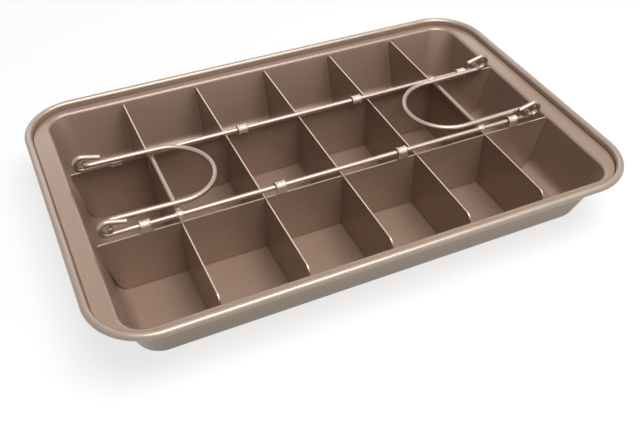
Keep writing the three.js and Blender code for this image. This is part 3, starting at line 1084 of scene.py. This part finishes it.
# %% Crossbars
BAR_REACH = ROD_Y - WIRE_RADIUS + 0.2 * MM
BAR_END = [(0, 1.2), (0.9, 1.0), (1.4, 0.95), (2.1, 1.1), (2.8, 1.08), (3.6, 1.0)]
LUMP_HALF_SIZE = Vector((3.3, 2.05, 1.95)) * MM
LUMP_INSET = 0.25 * MM
LUMP_RISE = 0.1 * MM
LUMP_DETAIL = 3
LUMP_GRAIN = 1.7
LUMP_ROUGHNESS = 0.12
WELD_REACH = 3.2 * MM


def add_lump(work, centre, seed):
    ball = bmesh.ops.create_icosphere(work, subdivisions=LUMP_DETAIL, radius=1)
    for vertex in ball["verts"]:
        grain = noise.noise(vertex.co * LUMP_GRAIN + Vector((seed, 0, 0)))
        lump = vertex.co * (1 + LUMP_ROUGHNESS * grain)
        vertex.co = centre + Vector(a * b for a, b in zip(lump, LUMP_HALF_SIZE))


def crossbar(place):
    x, z = CROSSBAR_X[place], CROSSBAR_HEIGHT[place]
    near = [(Vector((x, -BAR_REACH + along * MM, z)), scale) for along, scale in BAR_END]
    far = [(Vector((x, -point.y, z)), scale) for point, scale in reversed(near)]
    path, scales = zip(*near, *far)
    bar = swept_wire(place + "_crossbar_wire", path, scales)
    bake_modifiers(bar)
    work = bmesh.new()
    work.from_mesh(bar.data)
    for side in (-1, 1):
        centre = Vector((x, side * (ROD_Y - LUMP_INSET), ROD_HEIGHT + LUMP_RISE))
        add_lump(work, centre, x + side)
    work.to_mesh(bar.data)
    work.free()
    dress(bar, WELD_FINISH, lambda face: abs(face.center.y) > ROD_Y - WELD_REACH)
    return make_plain(bar)


for place in ("left", "right"):
    bar = crossbar(place)
    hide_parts(place + "_crossbar")
    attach(bar, "rack")

# %% [markdown]
# ## The handles
#
# Each handle is one wire bent to a U. The legs run under the hooks' tails, and the ends turn
# outwards through the hooks, which makes a hinge from nothing but bends. The legs slope from
# the hinge down to the crossbar that they rest on. Turning the object would give that slope as
# well, but a finished piece keeps its place in its mesh, so the path itself is tilted.

# %% Handles
HANDLE_LENGTH = 65 * MM
LEG_Y = 24.3 * MM
HANDLE_BEND = 3 * MM
BEND_STEPS = 10
BOW_STEPS = 48
PIVOT_END_Y = 32.6 * MM
PIVOT = {
    "left": Vector((-130.4, 1.0, 44.92)) * MM,
    "right": Vector((123.75, -0.85, 43.6)) * MM,
}
TOUCHING = 2 * WIRE_RADIUS + 0.3 * MM


def handle_path(place):
    pivot = PIVOT[place]
    run = CROSSBAR_X[place] - pivot.x
    sag = math.atan2(pivot.z - CROSSBAR_HEIGHT[place] - TOUCHING, abs(run))
    inward = AXIS_X * math.copysign(math.cos(sag), run) - AXIS_Z * math.sin(sag)

    def turn(centre, radius, start, end, steps):
        return arc(centre, radius, start, end, inward, AXIS_Y, steps)

    bend_centre = pivot + inward * HANDLE_BEND
    bend_out = AXIS_Y * (LEG_Y + HANDLE_BEND)
    bow_centre = pivot + inward * (HANDLE_LENGTH - LEG_Y)
    return [
        pivot - AXIS_Y * PIVOT_END_Y,
        *turn(bend_centre - bend_out, HANDLE_BEND, math.pi, math.pi / 2, BEND_STEPS),
        *turn(bow_centre, LEG_Y, -math.pi / 2, math.pi / 2, BOW_STEPS),
        *turn(bend_centre + bend_out, HANDLE_BEND, -math.pi / 2, -math.pi, BEND_STEPS),
        pivot + AXIS_Y * PIVOT_END_Y,
    ]


for place in ("left", "right"):
    grip = wire_piece(place + "_handle_wire", handle_path(place))
    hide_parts(place + "_handle")
    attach(grip, place + "_handle")

# %% [markdown]
# ## Floor and light
#
# The pan stands on a plain white surface in a white studio. That white is only for rays that
# reach it straight from the camera, off a mirror or through glass, so the wires and the coat
# mirror a white room. For all other light the floor is grey and the world almost black, and so
# the cells keep their depth. The white itself is part glow and part plain paint, because only
# paint can show the pan's shadow.

# %% Floor
FLOOR_HALF = 6.0
FLOOR_GREY = 0.4
FLOOR_ROUGHNESS = 0.9
FLOOR_GLOW = 0.7
GLOW_STRENGTH = 1.07
PAINT_WHITE = 0.9


def clear_rays(tree):
    rays = add_node(tree, "ShaderNodeLightPath").outputs
    mirrored = calculate(tree, "MAXIMUM", rays["Is Camera Ray"], rays["Is Glossy Ray"])
    return calculate(tree, "MAXIMUM", mirrored, rays["Is Transmission Ray"])


def white_floor():
    piece = mesh_object("floor", [
        (x * FLOOR_HALF, y * FLOOR_HALF, 0) for x, y in ((-1, -1), (1, -1), (1, 1), (-1, 1))
    ], [(0, 1, 2, 3)])
    material = bpy.data.materials.new("white_surface")
    material.use_nodes = True
    tree = material.node_tree
    shader = tree.nodes["Principled BSDF"]
    shader.inputs["Base Color"].default_value = (FLOOR_GREY, FLOOR_GREY, FLOOR_GREY, 1)
    shader.inputs["Roughness"].default_value = FLOOR_ROUGHNESS
    glow = add_node(tree, "ShaderNodeEmission", {
        "Color": (1, 1, 1, 1), "Strength": GLOW_STRENGTH,
    })
    paint = add_node(tree, "ShaderNodeBsdfDiffuse", {
        "Color": (PAINT_WHITE, PAINT_WHITE, PAINT_WHITE, 1),
    })
    white = add_node(tree, "ShaderNodeMixShader", {
        0: FLOOR_GLOW, 1: paint.outputs[0], 2: glow.outputs[0],
    })
    surface = add_node(tree, "ShaderNodeMixShader", {
        0: clear_rays(tree), 1: shader.outputs[0], 2: white.outputs[0],
    })
    tree.links.new(surface.outputs[0], tree.nodes["Material Output"].inputs["Surface"])
    piece.data.materials.append(material)
    return piece


white_floor()
print("floor:", 2 * FLOOR_HALF, "m wide")

# %% [markdown]
# Four lamps light the pan: a broad one overhead, which reaches down into the cells, a long
# thin strip, which draws a bright line along rim and wires, a softer one in front, and one
# behind for the sheen of the far rim. All aim at the middle of the pan.

# %% Light
AMBIENT = 0.015
LAMPS = {
    "top_softbox": ((0.12, -0.3, 1.15), (0.9, 0.65), 13),
    "rim_strip": ((0.3, -0.45, 1.15), (2.4, 0.1), 3),
    "front_softbox": ((0.4, -1.05, 0.8), (1.2, 0.6), 2.6),
    "back_strip": ((0.2, 1.3, 0.8), (1.8, 0.3), 3),
}


def white_studio():
    world = bpy.data.worlds.new("studio")
    world.use_nodes = True
    tree = world.node_tree
    background = tree.nodes["Background"]
    background.inputs["Color"].default_value = (1, 1, 1, 1)
    level = add_node(tree, "ShaderNodeMapRange", {
        "Value": clear_rays(tree), "To Min": AMBIENT, "To Max": 1.0,
    })
    tree.links.new(level.outputs["Result"], background.inputs["Strength"])
    bpy.context.scene.world = world


def soft_lamp(name, place, size, power):
    data = bpy.data.lights.new(name, "AREA")
    data.shape = "RECTANGLE"
    data.size, data.size_y = size
    data.energy = power
    lamp = bpy.data.objects.new(name, data)
    lamp.location = place
    lamp.visible_camera = False
    lamp.rotation_euler = (-Vector(place)).to_track_quat("-Z", "Y").to_euler()
    bpy.context.scene.collection.objects.link(lamp)
    print("lamp:", name, power, "W")


white_studio()
for name, (place, size, power) in LAMPS.items():
    soft_lamp(name, place, size, power)
bpy.context.scene.view_settings.view_transform = "Standard"
